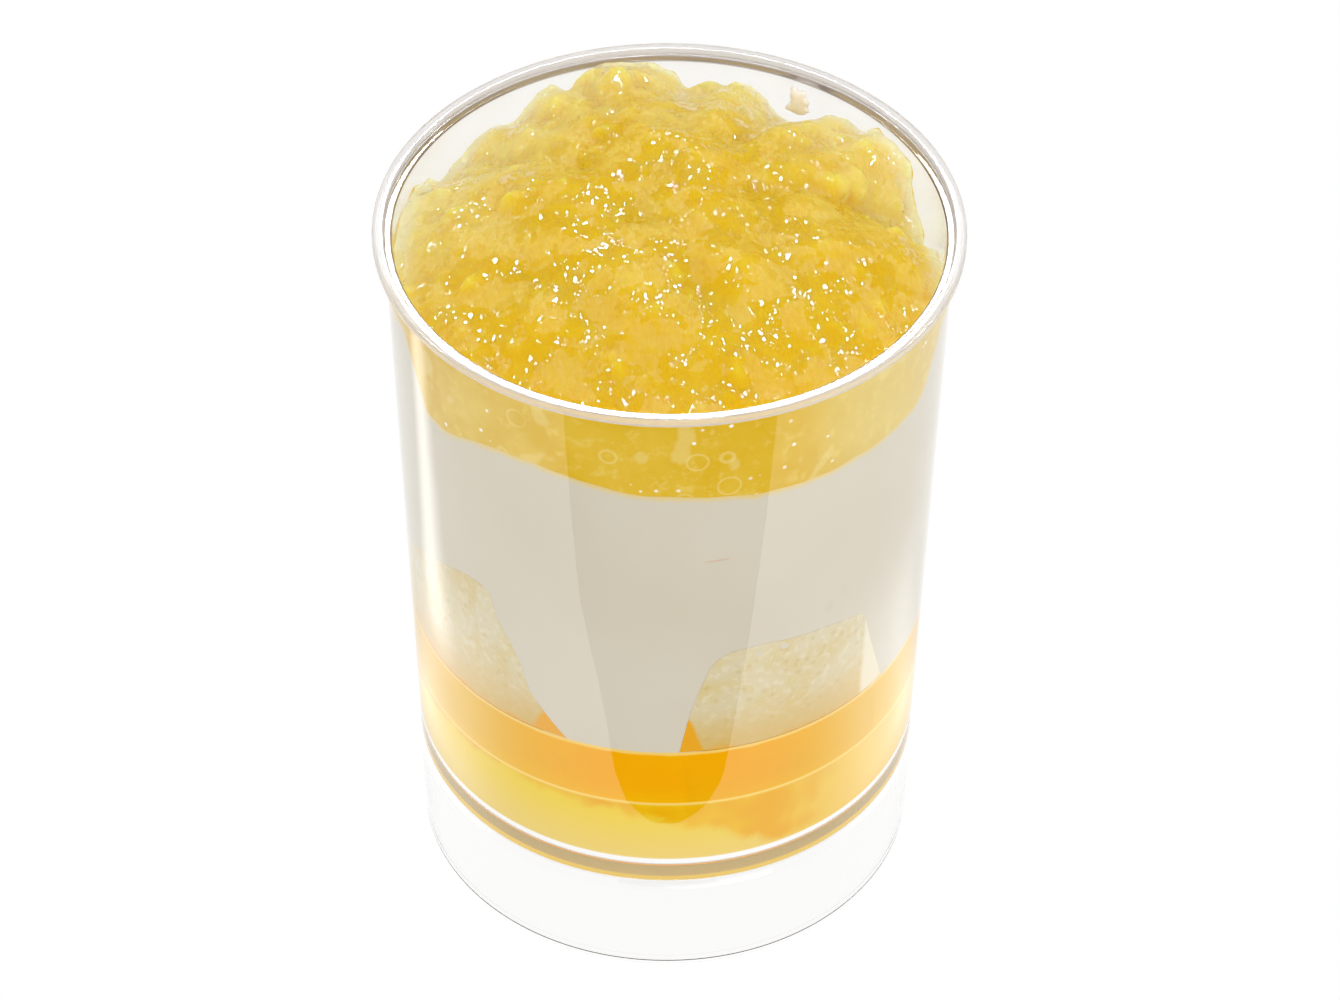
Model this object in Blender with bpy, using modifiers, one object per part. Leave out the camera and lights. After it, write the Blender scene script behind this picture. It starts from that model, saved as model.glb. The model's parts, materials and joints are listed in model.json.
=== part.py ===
"""A verrine: a citrus dessert in layers, in the clear plastic tumbler that it was set in.

From the bottom up: yellow jelly, orange jelly, sponge cake pressed against the wall, milk pudding
round the sponge, and a heap of crushed citrus jelly. Lengths are in metres, heights are along +Z
and angles are degrees round it from +X. The origin is on the axis, at the foot's lower edge.
"""

import math
import random

import bmesh
import bpy
from mathutils import Euler, Matrix, Vector, noise

SIDES = 60  # flat sides of each turned piece
GAP = 0.0003  # clearance between pieces that touch
WELD = 0.00001  # distance at which a turned mesh's seam and poles are joined

# The tumbler
HEIGHT = 0.0887
LIP_RADIUS = 0.0330
LIP_THICKNESS = 0.0011
LIP_INSIDE = 0.03175  # radius of the lip's inner face, which stands round a ledge for a lid
LIP_ROUNDING = 0.0004
LEDGE = 0.0878  # height of that ledge, where the wall ends
FOOT_RADIUS = 0.0288  # of the wall's outer face, carried down to the ground
TAPER = 0.0326  # growth of the wall's radius for each unit of height
WALL = 0.0014  # thickness round the foot
FLOOR_UNDERSIDE = 0.0134
FLOOR_TOP = 0.0156
INNER_FILLET = 0.0015
FLOOR_RADIUS = 0.0279  # of the wall's inner face, carried down to the floor's top
INNER_TAPER = 0.0404  # growth of that radius for each unit of height, so the wall thins upwards
FOOT_STEP = 0.0002  # how far the foot stands proud of the wall above it
EDGE_ROUNDING = 0.0003  # of the tumbler's small corners

# The layers, as heights of their upper faces at the wall
YELLOW_TOP = 0.0270
ORANGE_TOP = 0.0354
MILK_TOP = 0.0753
MILK_SWELL = 0.0015
MILK_SWELL_ANGLE = -118.0
MILK_SWELL_WIDTH = 20.0

# Lobes of orange jelly that sank into the yellow: angle, distance from the axis, spread, depth
ORANGE_LOBES = (
    (-98.0, 0.0215, 0.0045, 0.0030),
    (-74.0, 0.0215, 0.0060, 0.0062),
    (-48.0, 0.0200, 0.0070, 0.0080),
    (150.0, 0.0170, 0.0070, 0.0040),
)
LOBE_GAP = 0.0005  # the clearance between the two jellies, larger for the lobes' steep sides

# Pieces of sponge: angle of the middle, widths at the foot and top, and heights of the two top
# corners, the anticlockwise one first
SPONGES = {
    "sponge_right": (-60.0, 0.0258, 0.0178, 0.0484, 0.0512),
    "sponge_left": (-144.0, 0.0282, 0.0180, 0.0550, 0.0478),
    "sponge_back": (66.0, 0.0262, 0.0190, 0.0492, 0.0520),
}
SPONGE_DEPTH = 0.0140
SPONGE_ROUNDING = 0.0016

# The heap of crushed jelly
HEAP_TOP = 0.0935
HEAP_EDGE = 0.0858  # mean height at which it meets the wall
HEAP_FRONT_RISE = 0.0012  # how much higher it meets the wall at the front than at the sides
HEAP_CURVE = 2.3  # power of the fall from the middle to the wall
HEAP_RIPPLE = 0.0007
HEAP_RIPPLES_PER_METRE = 140.0

# Rises and dips of the heap's edge at the back: angle, width in degrees, height
HEAP_EDGE_SWELLS = (
    (142.0, 12.0, -0.0012),
    (106.0, 16.0, 0.0014),
    (64.0, 9.0, -0.0018),
    (40.0, 11.0, 0.0020),
    (16.0, 12.0, -0.0030),
)

# The jelly fragments on the heap
CORE_DROP = 0.0006  # depth of the core's own surface below the heap's mean surface
PIECE_COUNT = 118
PIECE_RADIUS = (0.0030, 0.0041)
PIECE_SINK = 0.45  # how deep a piece's middle lies in the core, in radii
SEED = 7


def clear_scene():
    for old in list(bpy.data.objects):
        bpy.data.objects.remove(old, do_unlink=True)


def new_collection(name, hidden=False):
    collection = bpy.data.collections.new(name)
    collection.hide_render = hidden
    bpy.context.scene.collection.children.link(collection)
    return collection


def make_material(name, colour, roughness, transmission=0.0):
    material = bpy.data.materials.new(name)
    material.use_nodes = True
    shader = material.node_tree.nodes["Principled BSDF"]
    shader.inputs["Base Color"].default_value = (*colour, 1.0)
    shader.inputs["Roughness"].default_value = roughness
    shader.inputs["Metallic"].default_value = 0.0
    shader.inputs["Transmission Weight"].default_value = transmission
    return material


def add_object(name, mesh, collection, material=None):
    obj = bpy.data.objects.new(name, mesh)
    collection.objects.link(obj)
    if material:
        mesh.materials.clear()
        mesh.materials.append(material)
    return obj


def applied_mesh(obj):
    """The object's mesh with its modifiers applied."""
    bpy.context.view_layer.update()
    graph = bpy.context.evaluated_depsgraph_get()
    return bpy.data.meshes.new_from_object(obj.evaluated_get(graph))


def shade_round(obj, sharp_degrees=35):
    obj.data.shade_smooth()
    obj.data.set_sharp_from_angle(angle=math.radians(sharp_degrees))


def wall_radius(height):
    return FOOT_RADIUS + TAPER * height


def inner_radius(height):
    return FLOOR_RADIUS + INNER_TAPER * (height - FLOOR_TOP)


def foot_hollow_radius(height):
    return wall_radius(height) - WALL


def fill_radius(height):
    return inner_radius(height) - GAP


def arc(centre, radius, start, end, steps):
    """Points of an arc in the profile's plane, by angles in degrees."""
    points = []
    for step in range(steps + 1):
        angle = math.radians(start + (end - start) * step / steps)
        points.append((centre[0] + radius * math.cos(angle), centre[1] + radius * math.sin(angle)))
    return points


def turned_mesh(profile):
    """A closed body of revolution. The profile runs down its outer side, from pole to pole."""
    outline = bpy.data.meshes.new("profile")
    points = [(radius, 0.0, height) for radius, height in profile]
    outline.from_pydata(points, [(i, i + 1) for i in range(len(points) - 1)], [])
    guide = add_object("profile", outline, bpy.context.scene.collection)
    screw = guide.modifiers.new("turn", "SCREW")
    screw.steps = screw.render_steps = SIDES
    screw.use_merge_vertices = True
    screw.merge_threshold = WELD
    weld = guide.modifiers.new("poles", "WELD")
    weld.merge_threshold = WELD
    mesh = applied_mesh(guide)
    bpy.data.objects.remove(guide)
    return mesh


def tumbler_profile():
    """From the floor's middle up the wall to the ledge, over the lip, down to the foot and back."""
    fillet_top = FLOOR_TOP + INNER_FILLET
    fillet_middle = (inner_radius(fillet_top) - INNER_FILLET, fillet_top)
    lip_middle = (LIP_RADIUS - LIP_ROUNDING, HEIGHT - LIP_ROUNDING)
    edge = EDGE_ROUNDING
    inside = [(0.0, FLOOR_TOP)]
    inside += arc(fillet_middle, INNER_FILLET, -90, 0, 4)
    inside += [(inner_radius(LEDGE), LEDGE - edge), (inner_radius(LEDGE) + edge, LEDGE)]
    underside = HEIGHT - LIP_THICKNESS
    lip = [(LIP_INSIDE, LEDGE), (LIP_INSIDE, HEIGHT - edge), (LIP_INSIDE + edge, HEIGHT)]
    lip += arc(lip_middle, LIP_ROUNDING, 90, 0, 3)
    lip += [(LIP_RADIUS, underside + edge), (LIP_RADIUS - edge, underside)]
    lip += [(wall_radius(underside) + edge, underside - edge)]
    lip += [(wall_radius(underside), underside - 2 * edge)]
    outside = [
        (wall_radius(FLOOR_TOP), FLOOR_TOP),
        (wall_radius(FLOOR_UNDERSIDE) + FOOT_STEP, FLOOR_UNDERSIDE + edge),
        (wall_radius(0.0) + FOOT_STEP, edge),
        (wall_radius(0.0) + FOOT_STEP - edge, 0.0),
    ]
    underneath = [
        (foot_hollow_radius(0.0), 0.0),
        (foot_hollow_radius(FLOOR_UNDERSIDE), FLOOR_UNDERSIDE - 2 * edge),
        (foot_hollow_radius(FLOOR_UNDERSIDE) - 2 * edge, FLOOR_UNDERSIDE),
        (0.0, FLOOR_UNDERSIDE),
    ]
    return inside + lip + outside + underneath


def polar(angle_degrees, distance):
    angle = math.radians(angle_degrees)
    return Vector((distance * math.cos(angle), distance * math.sin(angle), 0.0))


def angle_between(angle, other):
    """The difference of two angles in degrees, from -180 to 180."""
    return (angle - other + 180.0) % 360.0 - 180.0


def angle_of(x, y):
    return math.degrees(math.atan2(y, x))


def orange_underside(x, y):
    """Height of the face between the two jellies: level at the wall, with lobes further in."""
    height = YELLOW_TOP
    for angle, distance, spread, depth in ORANGE_LOBES:
        away = (Vector((x, y, 0.0)) - polar(angle, distance)).length / spread
        height -= depth * math.exp(-away * away)
    return height


def milk_top(x, y):
    """Height of the pudding's upper face, which swells gently on one side."""
    turn = angle_between(angle_of(x, y), MILK_SWELL_ANGLE) / MILK_SWELL_WIDTH
    reach = min(1.0, math.hypot(x, y) / inner_radius(MILK_TOP))
    return MILK_TOP + reach * MILK_SWELL * math.exp(-turn * turn)


def heap_edge(angle):
    """Height at which the heap meets the wall."""
    height = HEAP_EDGE + HEAP_FRONT_RISE * math.cos(math.radians(angle_between(angle, -90.0)))
    for middle, width, rise in HEAP_EDGE_SWELLS:
        turn = angle_between(angle, middle) / width
        height += rise * math.exp(-turn * turn)
    return height


def heap_height(x, y):
    """Height of the heap's mean surface, without its pieces."""
    reach = min(1.0, math.hypot(x, y) / inner_radius(HEAP_EDGE))
    fall = (HEAP_TOP - heap_edge(angle_of(x, y))) * reach**HEAP_CURVE
    ripple = noise.noise(Vector((x, y, 0.0)) * HEAP_RIPPLES_PER_METRE) * HEAP_RIPPLE
    return HEAP_TOP - fall + ripple


def layer_mesh(lower, upper, lower_rings, upper_rings, rounding=0.0):
    """A layer that fills the tumbler between two faces, each given as a function of x and y.

    The faces are turned flat with the given rings, as shares of the radius, and then moved to height.
    """
    bottom, top = lower(fill_radius(0.0), 0.0), upper(fill_radius(0.0), 0.0)
    profile = [(0.0, top)] + [(fill_radius(top) * share, top) for share in upper_rings]
    if rounding:
        middle = (fill_radius(bottom + rounding) - rounding, bottom + rounding)
        edge = arc(middle, rounding, 0, -90, 4)
    else:
        edge = [(fill_radius(bottom), bottom)]
    down = profile + edge
    down += [(fill_radius(bottom) * share, bottom) for share in reversed(lower_rings)]
    down += [(0.0, bottom)]
    mesh = turned_mesh(down)
    half = (bottom + top) / 2
    for vertex in mesh.vertices:
        x, y, z = vertex.co
        if z > half:
            vertex.co.z = upper(x, y)
        elif not rounding:
            vertex.co.z = lower(x, y)
    return mesh


def sponge_mesh(middle, foot_width, top_width, first_corner, last_corner, grow=0.0, overrun=0.0):
    """A block of cake with a flat back, leaning ends, and a face that follows the wall.

    Grown by a gap and run past the wall and its own foot, it is the hollow that the pudding leaves.
    """
    shape = bmesh.new()
    bmesh.ops.create_cube(shape, size=2.0)
    bmesh.ops.subdivide_edges(shape, edges=shape.edges[:], cuts=3, use_grid_fill=True)
    foot = ORANGE_TOP + GAP
    for vertex in shape.verts:
        along, outward, up = vertex.co.x, (vertex.co.y + 1.0) / 2.0, (vertex.co.z + 1.0) / 2.0
        corner = first_corner + (last_corner - first_corner) * (along + 1.0) / 2.0
        height = foot - overrun + (corner + grow - foot + overrun) * up
        width = foot_width + (top_width - foot_width) * (height - foot) / (corner - foot)
        side = along * (width / 2.0 + grow)
        radius = fill_radius(height) + overrun
        near = fill_radius(ORANGE_TOP) - SPONGE_DEPTH - grow
        far = math.sqrt(radius * radius - side * side)
        vertex.co = (side, near + (far - near) * outward, height)
    turn = Matrix.Rotation(math.radians(middle - 90.0), 4, "Z")
    bmesh.ops.transform(shape, matrix=turn, verts=shape.verts[:])
    mesh = bpy.data.meshes.new("sponge")
    shape.to_mesh(mesh)
    shape.free()
    return mesh


def round_edges(obj, width):
    bevel = obj.modifiers.new("rounded edges", "BEVEL")
    bevel.width = width
    bevel.segments = 2
    bevel.limit_method = "ANGLE"
    bevel.angle_limit = math.radians(40)


def piece_mesh(rng):
    """One angular fragment of crushed jelly."""
    shape = bmesh.new()
    bmesh.ops.create_icosphere(shape, subdivisions=1, radius=rng.uniform(*PIECE_RADIUS))
    for vertex in shape.verts:
        vertex.co *= rng.uniform(0.80, 1.14)
    stretch = Matrix.Diagonal((rng.uniform(0.9, 1.25), rng.uniform(0.75, 1.0), rng.uniform(0.6, 0.85), 1.0))
    spin = Euler([rng.uniform(0.0, math.tau) for _ in range(3)]).to_matrix().to_4x4()
    bmesh.ops.transform(shape, matrix=stretch, verts=shape.verts[:])
    bmesh.ops.transform(shape, matrix=spin, verts=shape.verts[:])
    mesh = bpy.data.meshes.new("piece")
    shape.to_mesh(mesh)
    shape.free()
    return mesh


def heap_pieces(collection):
    """Fragments spread evenly over the heap along a spiral, each with its middle just inside the core."""
    rng = random.Random(SEED)
    golden = math.pi * (3.0 - math.sqrt(5.0))
    for index in range(PIECE_COUNT):
        distance = (fill_radius(HEAP_EDGE) - PIECE_RADIUS[0] / 2) * math.sqrt((index + 0.5) / PIECE_COUNT)
        angle = index * golden + rng.uniform(-0.08, 0.08)
        x, y = distance * math.cos(angle), distance * math.sin(angle)
        piece = add_object("piece", piece_mesh(rng), collection)
        piece.location = (x, y, heap_height(x, y) - PIECE_SINK * PIECE_RADIUS[0])


def largest_body(mesh):
    """Drops sealed hollows and loose scraps, which are bodies of fewer faces than the heap itself."""
    shape = bmesh.new()
    shape.from_mesh(mesh)
    bmesh.ops.remove_doubles(shape, verts=shape.verts[:], dist=WELD)
    bmesh.ops.triangulate(shape, faces=shape.faces[:])
    waiting = set(shape.verts)
    bodies = []
    while waiting:
        front = [waiting.pop()]
        body = set(front)
        while front:
            for edge in front.pop().link_edges:
                for vertex in edge.verts:
                    if vertex in waiting:
                        waiting.remove(vertex)
                        body.add(vertex)
                        front.append(vertex)
        bodies.append(body)
    bodies.sort(key=len)
    for body in bodies[:-1]:
        bmesh.ops.delete(shape, geom=list(body), context="VERTS")
    shape.to_mesh(mesh)
    shape.free()
    return mesh


def build_tumbler(collection):
    clear = make_material("clear_plastic", (0.97, 0.97, 0.96), 0.03, transmission=1.0)
    tumbler = add_object("tumbler", turned_mesh(tumbler_profile()), collection, clear)
    shade_round(tumbler)


def build_jellies(collection):
    yellow = make_material("yellow_jelly", (0.90, 0.56, 0.07), 0.12)
    orange = make_material("orange_jelly", (0.90, 0.37, 0.02), 0.12)
    rings = (0.3, 0.5, 0.64, 0.78, 0.9, 1.0)
    mesh = layer_mesh(
        lambda x, y: FLOOR_TOP + GAP,
        lambda x, y: orange_underside(x, y) - LOBE_GAP,
        (),
        rings,
        rounding=INNER_FILLET,
    )
    shade_round(add_object("yellow_jelly", mesh, collection, yellow))
    mesh = layer_mesh(orange_underside, lambda x, y: ORANGE_TOP, rings[:-1], (1.0,))
    shade_round(add_object("orange_jelly", mesh, collection, orange))


def build_sponges(collection, cutters):
    cake = make_material("sponge_cake", (0.80, 0.66, 0.38), 0.85)
    for name, sizes in SPONGES.items():
        sponge = add_object(name, sponge_mesh(*sizes), collection, cake)
        round_edges(sponge, SPONGE_ROUNDING)
        shade_round(sponge)
        hollow = add_object(name + "_hollow", sponge_mesh(*sizes, GAP, SPONGE_ROUNDING * 2), cutters)
        hollow.display_type = "WIRE"
        hollow.hide_render = True
        round_edges(hollow, SPONGE_ROUNDING)


def build_milk_pudding(collection, cutters):
    white = make_material("milk_pudding", (0.86, 0.83, 0.74), 0.35)
    foot = ORANGE_TOP + GAP
    mesh = layer_mesh(lambda x, y: foot, lambda x, y: milk_top(x, y) - GAP, (0.5,), (0.5, 1.0))
    pudding = add_object("milk_pudding", mesh, collection, white)
    for hollow in cutters.objects:
        cut = pudding.modifiers.new(hollow.name, "BOOLEAN")
        cut.operation = "DIFFERENCE"
        cut.object = hollow
    shade_round(pudding)


def build_crushed_jelly(collection):
    """The heap's core and pieces made one body, trimmed to the inside of the tumbler."""
    citrus = make_material("crushed_jelly", (0.86, 0.55, 0.05), 0.08)
    rings = (0.3, 0.6, 0.85, 1.0)
    core_mesh = layer_mesh(milk_top, lambda x, y: heap_height(x, y) - CORE_DROP, (0.5,), rings)
    core = add_object("crushed_jelly", core_mesh, collection, citrus)
    pieces = new_collection("pieces", hidden=True)
    heap_pieces(pieces)
    fuse = core.modifiers.new("pieces", "BOOLEAN")
    fuse.operation = "UNION"
    fuse.operand_type = "COLLECTION"
    fuse.collection = pieces
    above = HEAP_TOP + 4 * PIECE_RADIUS[1]
    below = MILK_TOP - PIECE_RADIUS[1]
    trim_profile = [(0.0, above), (fill_radius(LEDGE), above), (fill_radius(LEDGE), LEDGE)]
    trim_profile += [(fill_radius(below), below), (0.0, below)]
    trim = add_object("inside", turned_mesh(trim_profile), pieces)
    pieces.objects.unlink(trim)
    bpy.context.scene.collection.objects.link(trim)
    keep = core.modifiers.new("inside", "BOOLEAN")
    keep.operation = "INTERSECT"
    keep.object = trim
    fused = largest_body(applied_mesh(core))
    core.modifiers.clear()
    core.data = fused
    core.data.materials.clear()
    core.data.materials.append(citrus)
    for helper in [trim, *pieces.objects]:
        bpy.data.objects.remove(helper, do_unlink=True)
    bpy.data.collections.remove(pieces)
    shade_round(core, sharp_degrees=25)


clear_scene()
verrine = new_collection("verrine")
hollows = new_collection("hollows", hidden=True)
build_tumbler(verrine)
build_jellies(verrine)
build_sponges(verrine, hollows)
build_milk_pudding(verrine, hollows)
build_crushed_jelly(verrine)
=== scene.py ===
# A verrine: a citrus dessert in layers, in the clear plastic tumbler that it was set in.
import json
import math
import random

import bmesh
import bpy
import numpy as np
from mathutils import Matrix, Vector, noise

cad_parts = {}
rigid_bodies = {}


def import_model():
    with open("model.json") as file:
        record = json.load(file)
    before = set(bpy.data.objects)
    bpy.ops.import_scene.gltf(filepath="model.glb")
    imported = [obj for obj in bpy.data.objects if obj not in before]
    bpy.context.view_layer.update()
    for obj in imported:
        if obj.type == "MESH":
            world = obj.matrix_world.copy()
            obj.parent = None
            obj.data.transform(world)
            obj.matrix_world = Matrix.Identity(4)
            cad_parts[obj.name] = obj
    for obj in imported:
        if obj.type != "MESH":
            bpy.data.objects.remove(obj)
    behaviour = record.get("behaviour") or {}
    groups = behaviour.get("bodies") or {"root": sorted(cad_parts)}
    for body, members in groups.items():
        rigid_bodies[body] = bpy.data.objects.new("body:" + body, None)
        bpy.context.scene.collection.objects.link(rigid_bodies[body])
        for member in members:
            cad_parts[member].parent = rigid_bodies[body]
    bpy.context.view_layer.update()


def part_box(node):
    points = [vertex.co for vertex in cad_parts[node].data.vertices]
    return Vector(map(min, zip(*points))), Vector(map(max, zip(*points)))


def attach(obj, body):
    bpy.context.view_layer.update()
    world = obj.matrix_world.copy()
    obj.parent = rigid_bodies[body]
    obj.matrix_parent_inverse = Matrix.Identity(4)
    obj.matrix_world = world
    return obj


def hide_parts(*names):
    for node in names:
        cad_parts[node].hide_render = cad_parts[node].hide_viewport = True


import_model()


# ---- Tumbler -------------------------------------------------------------------------------
# The clear tumbler: a tapered wall with a small flat lip, a floor raised on a hollow foot.
# Injection-moulded polystyrene, so it is glass clear, with a faint waviness and fine handling marks.

tumbler_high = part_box("tumbler")[1]
RIM = tumbler_high.z
LIP_RADIUS = tumbler_high.x
LIP_THICKNESS = 0.0011
LIP_INSIDE = 0.03175  # the lip's inner face stands round a ledge, the seat of a lid
LEDGE = RIM - 0.0009
FOOT_RADIUS = 0.0288
TAPER = 0.0326  # growth of the wall's radius for each unit of height
FOOT_WALL = 0.0014
FLOOR_RADIUS = 0.0279  # of the wall's inner face, carried down to the floor
INNER_TAPER = 0.0404  # more than the outer taper, so the wall thins upwards
FLOOR_UNDERSIDE = 0.0134
FLOOR_TOP = 0.0156
FOOT_STEP = 0.0002
INNER_FILLET = 0.0024
TURNED_SIDES = 192
PRESS = 0.0001  # how far the filling reaches into the wall, so that no air shows between them
HEAP_PRESS = 0.00005  # less for the heap, so that the milk's edge lies over its foot


class Wire:
    """One socket of a node tree. Arithmetic on it adds Math nodes, and node() adds any other node."""

    def __init__(self, tree, socket):
        self.tree = tree
        self.socket = socket

    def node(self, kind, settings=None, inputs=None, output=0):
        """Adds a node: its settings first, then the values or links of its inputs."""
        made = self.tree.nodes.new(kind)
        for name, value in (settings or {}).items():
            if name == "stops":
                while len(made.color_ramp.elements) < len(value):
                    made.color_ramp.elements.new(0.5)
                for stop, (place, colour) in zip(made.color_ramp.elements, value):
                    stop.position = place
                    stop.color = colour
            else:
                setattr(made, name, value)
        for name, value in (inputs or {}).items():
            if isinstance(value, Wire):
                self.tree.links.new(value.socket, made.inputs[name])
            else:
                made.inputs[name].default_value = value
        return Wire(self.tree, made.outputs[output])

    def math(self, operation, *others):
        operands = dict(enumerate((self, *others)))
        return self.node("ShaderNodeMath", {"operation": operation}, operands)

    def __add__(self, other):
        return self.math("ADD", other)

    def __sub__(self, other):
        return self.math("SUBTRACT", other)

    def __mul__(self, other):
        return self.math("MULTIPLY", other)

    def __truediv__(self, other):
        return self.math("DIVIDE", other)

    def __rsub__(self, other):
        return (self * -1.0) + other

    __radd__ = __add__
    __rmul__ = __mul__

    def step(self, low, high):
        """Rises smoothly from 0 to 1 as the value goes from low to high; low may be the larger."""
        limits = {"Value": self, "From Min": low, "From Max": high}
        return self.node("ShaderNodeMapRange", {"interpolation_type": "SMOOTHSTEP"}, limits)

    def blend(self, without, with_it):
        """Colour that goes from one to the other as this value goes from 0 to 1."""
        colours = {0: self, 6: without, 7: with_it}
        return self.node("ShaderNodeMix", {"data_type": "RGBA"}, colours, output=2)

    def grain(self, scale, detail=2.0, roughness=0.5, distortion=0.0):
        """Noise from 0 to 1 at this place, with features of about 1/scale metres."""
        values = {"Vector": self, "Scale": scale, "Detail": detail}
        values.update({"Roughness": roughness, "Distortion": distortion})
        return self.node("ShaderNodeTexNoise", inputs=values)

    def parts(self):
        """The x, y and z of this place."""
        apart = self.node("ShaderNodeSeparateXYZ", inputs={0: self})
        return [Wire(self.tree, socket) for socket in apart.socket.node.outputs]

    def cylinder(self):
        """Angle in degrees round the axis, distance from the axis, and height of this place."""
        x, y, z = self.parts()
        return y.math("ARCTAN2", x) * (180.0 / math.pi), (x * x + y * y).math("SQRT"), z

    def relief(self, distance, strength=1.0):
        """A Bump node's normal, for a height that this value measures in units of distance."""
        values = {"Height": self, "Distance": distance, "Strength": strength}
        return self.node("ShaderNodeBump", inputs=values)


def colour(red, green, blue):
    """A linear colour from display values of 0 to 255."""
    display = [value / 255.0 for value in (red, green, blue)]
    return (*[v / 12.92 if v <= 0.04045 else ((v + 0.055) / 1.055) ** 2.4 for v in display], 1.0)


def new_finish(name, **values):
    """A material whose Principled shader has these plain values, and its Object coordinates."""
    material = bpy.data.materials.new(name)
    material.use_nodes = True
    tree = material.node_tree
    for socket, value in values.items():
        tree.nodes["Principled BSDF"].inputs[socket.replace("_", " ")].default_value = value
    place = tree.nodes.new("ShaderNodeTexCoord")
    return material, Wire(tree, place.outputs["Object"])


def feed(material, **wires):
    """Links wires to the sockets of a material's Principled shader."""
    tree = material.node_tree
    for socket, wire in wires.items():
        tree.links.new(wire.socket, tree.nodes["Principled BSDF"].inputs[socket.replace("_", " ")])


def rounded_line(corners, steps=5):
    """The profile through these corners of (radius, height, rounding), each rounded off by that much."""
    points = []
    for index, (radius, height, rounding) in enumerate(corners):
        here = Vector((radius, height))
        if not rounding:
            points.append((radius, height))
            continue
        before = Vector(corners[index - 1][:2]) - here
        after = Vector(corners[index + 1][:2]) - here
        start, end = before.normalized() * rounding, after.normalized() * rounding
        for step in range(steps + 1):
            share = step / steps
            points.append(tuple(here + start * (1 - share) ** 2 + end * share**2))
    return points


def turned_mesh(name, profile, sides=TURNED_SIDES):
    """A closed body of revolution. The profile runs down its outer side, from pole to pole."""
    points, rings, faces = [], [], []
    for radius, height in profile:
        count = sides if radius > 0.0 else 1
        rings.append([len(points) + side for side in range(count)])
        for side in range(count):
            angle = math.tau * side / sides
            points.append((radius * math.cos(angle), radius * math.sin(angle), height))
    for upper, lower in zip(rings, rings[1:]):
        for side in range(sides):
            after = (side + 1) % sides
            corners = (upper[side % len(upper)], lower[side % len(lower)])
            corners += (lower[after % len(lower)], upper[after % len(upper)])
            faces.append(list(dict.fromkeys(corners)))
    mesh = bpy.data.meshes.new(name)
    mesh.from_pydata(points, [], faces)
    mesh.shade_smooth()
    return mesh


def made_piece(name, mesh, material, slot, *nodes):
    """Sets a finished mesh in the frame as a piece that stands for these nodes of the model."""
    mesh.materials.clear()
    mesh.materials.append(material)
    piece = bpy.data.objects.new(name, mesh)
    bpy.context.scene.collection.objects.link(piece)
    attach(piece, "root")
    if nodes:
        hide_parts(*nodes)
    return piece


def applied(guide):
    """The plain mesh that an object's modifiers make. The object is removed."""
    graph = bpy.context.evaluated_depsgraph_get()
    mesh = bpy.data.meshes.new_from_object(guide.evaluated_get(graph))
    bpy.data.objects.remove(guide, do_unlink=True)
    return mesh


def wall_radius(height):
    return FOOT_RADIUS + TAPER * height


def inner_radius(height):
    return FLOOR_RADIUS + INNER_TAPER * (height - FLOOR_TOP)


def fill_radius(height):
    return inner_radius(height) + PRESS


tumbler_corners = [
    (0.0, FLOOR_TOP, 0.0),
    (inner_radius(FLOOR_TOP), FLOOR_TOP, INNER_FILLET),
    (inner_radius(LEDGE), LEDGE, 0.0002),
    (LIP_INSIDE, LEDGE, 0.0002),
    (LIP_INSIDE, RIM, 0.0002),
    (LIP_RADIUS, RIM, 0.0004),
    (LIP_RADIUS, RIM - LIP_THICKNESS, 0.0004),
    (wall_radius(RIM), RIM - LIP_THICKNESS, 0.0004),
    (wall_radius(FLOOR_UNDERSIDE + 0.001), FLOOR_UNDERSIDE + 0.001, 0.0003),
    (wall_radius(FLOOR_UNDERSIDE) + FOOT_STEP, FLOOR_UNDERSIDE, 0.0003),
    (wall_radius(0.0) + FOOT_STEP, 0.0, 0.0004),
    (wall_radius(0.0) - FOOT_WALL, 0.0, 0.0004),
    (wall_radius(FLOOR_UNDERSIDE) - FOOT_WALL, FLOOR_UNDERSIDE, 0.0024),
    (0.0, FLOOR_UNDERSIDE, 0.0),
]
tumbler_mesh = turned_mesh("tumbler_turned", rounded_line(tumbler_corners))
tumbler_guide = bpy.data.objects.new("tumbler_guide", tumbler_mesh)
bpy.context.scene.collection.objects.link(tumbler_guide)
flats = tumbler_guide.modifiers.new("true flats", "WEIGHTED_NORMAL")
flats.weight = 100

clear_plastic, place = new_finish(
    "clear_plastic",
    IOR=1.57,
    Transmission_Weight=1.0,
)
marks = place.grain(900.0, 3.0).step(0.55, 0.8) * place.grain(60.0).step(0.45, 0.7)
angle, reach, height = place.cylinder()
thick = height.step(RIM - 0.0022, RIM - 0.0008)
tint = thick.blend((0.968, 0.966, 0.958, 1.0), (0.91, 0.895, 0.885, 1.0))
feed(
    clear_plastic,
    Base_Color=tint,
    Roughness=marks * 0.03 + 0.008,
    Normal=place.grain(55.0).relief(0.00003),
)

# The lip's outer edge is a little scuffed, and scatters the light.
tree = clear_plastic.node_tree
plastic = Wire(tree, tree.nodes["Principled BSDF"].outputs[0])
scuffed = height.step(RIM - LIP_THICKNESS - 0.0003, RIM - LIP_THICKNESS)
scuffed = scuffed * reach.step(LIP_INSIDE, LIP_INSIDE + 0.0004)
worn = place.node("ShaderNodeBsdfDiffuse", inputs={"Color": (0.80, 0.78, 0.78, 1.0)})
plastic = place.node("ShaderNodeMixShader", inputs={0: scuffed * 0.4, 1: plastic, 2: worn})

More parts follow.
